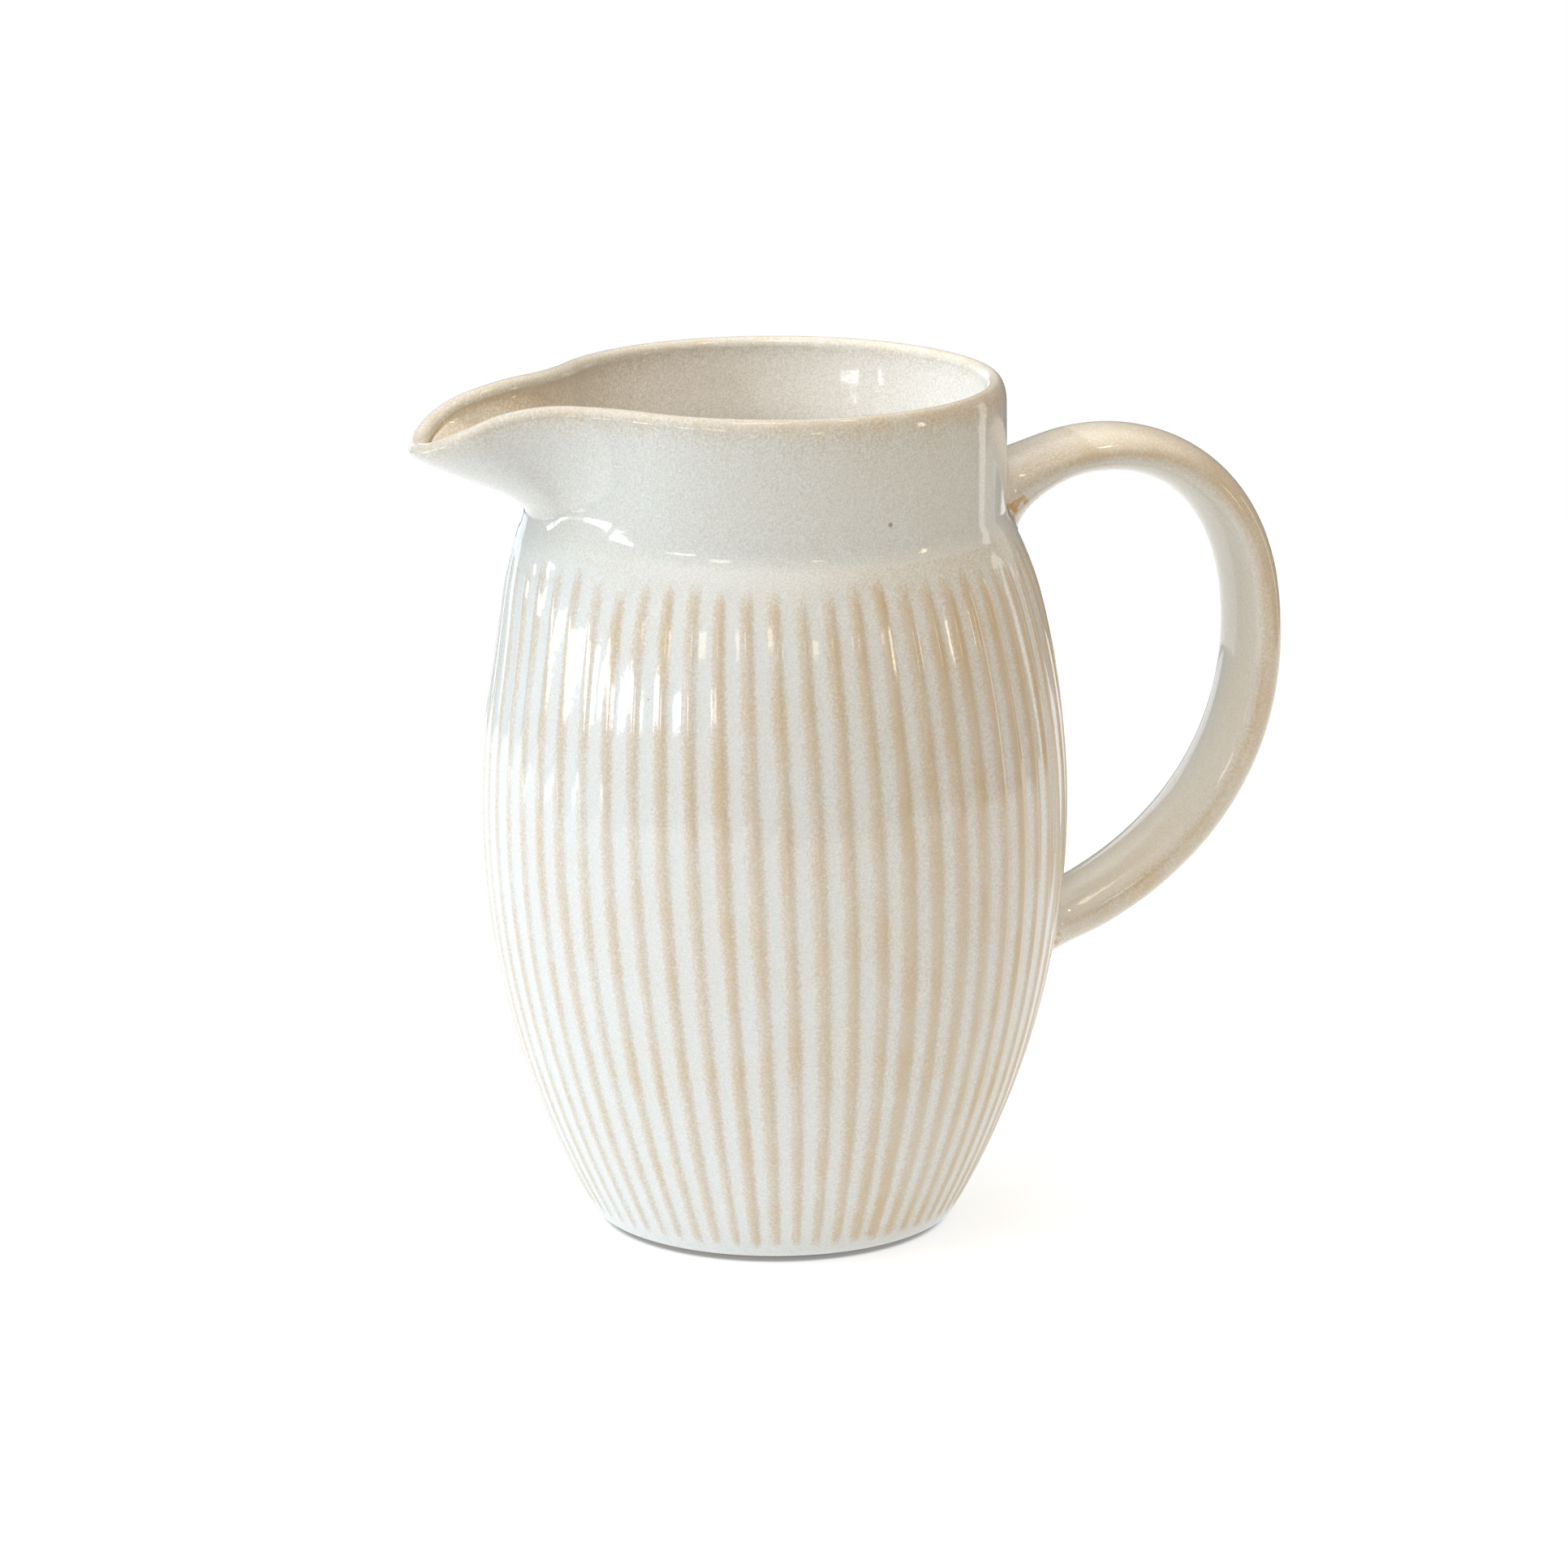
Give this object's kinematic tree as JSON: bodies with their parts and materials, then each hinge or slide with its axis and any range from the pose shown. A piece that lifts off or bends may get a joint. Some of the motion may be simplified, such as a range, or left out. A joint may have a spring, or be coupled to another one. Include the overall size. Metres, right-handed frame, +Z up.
{
  "type": "ceramic pitcher",
  "caption": "Glazed stoneware pitcher with a fluted round body, a plain collar, a pulled pouring spout and a strap handle.",
  "frame": {"origin": "centre of the foot's resting face, on the body's axis", "axes": "+Z up along the body's axis, +X to the handle, -X to the spout; the XZ plane is the plane of both"},
  "size_m": [0.2115, 0.1366, 0.2],
  "materials": {
    "fluted_glaze": "glossy pale blue-white glaze, pooled in the flutes and broken to tan on the ridges",
    "plain_glaze": "glossy mottled grey-white glaze, broken to tan on the lip",
    "inner_glaze": "glossy warm grey glaze",
    "handle_glaze": "glossy grey-white glaze, warmer along the edges and at the roots",
    "bare_clay": "matt unglazed buff stoneware"
  },
  "bodies": {
    "root": {"foot_ring": "bare_clay", "base_floor": "inner_glaze", "fluted_barrel": "fluted_glaze", "collar": "plain_glaze", "spout": "plain_glaze", "handle": "handle_glaze", "upper_handle_joint": "handle_glaze", "lower_handle_joint": "handle_glaze"}
  },
  "joints": []
}
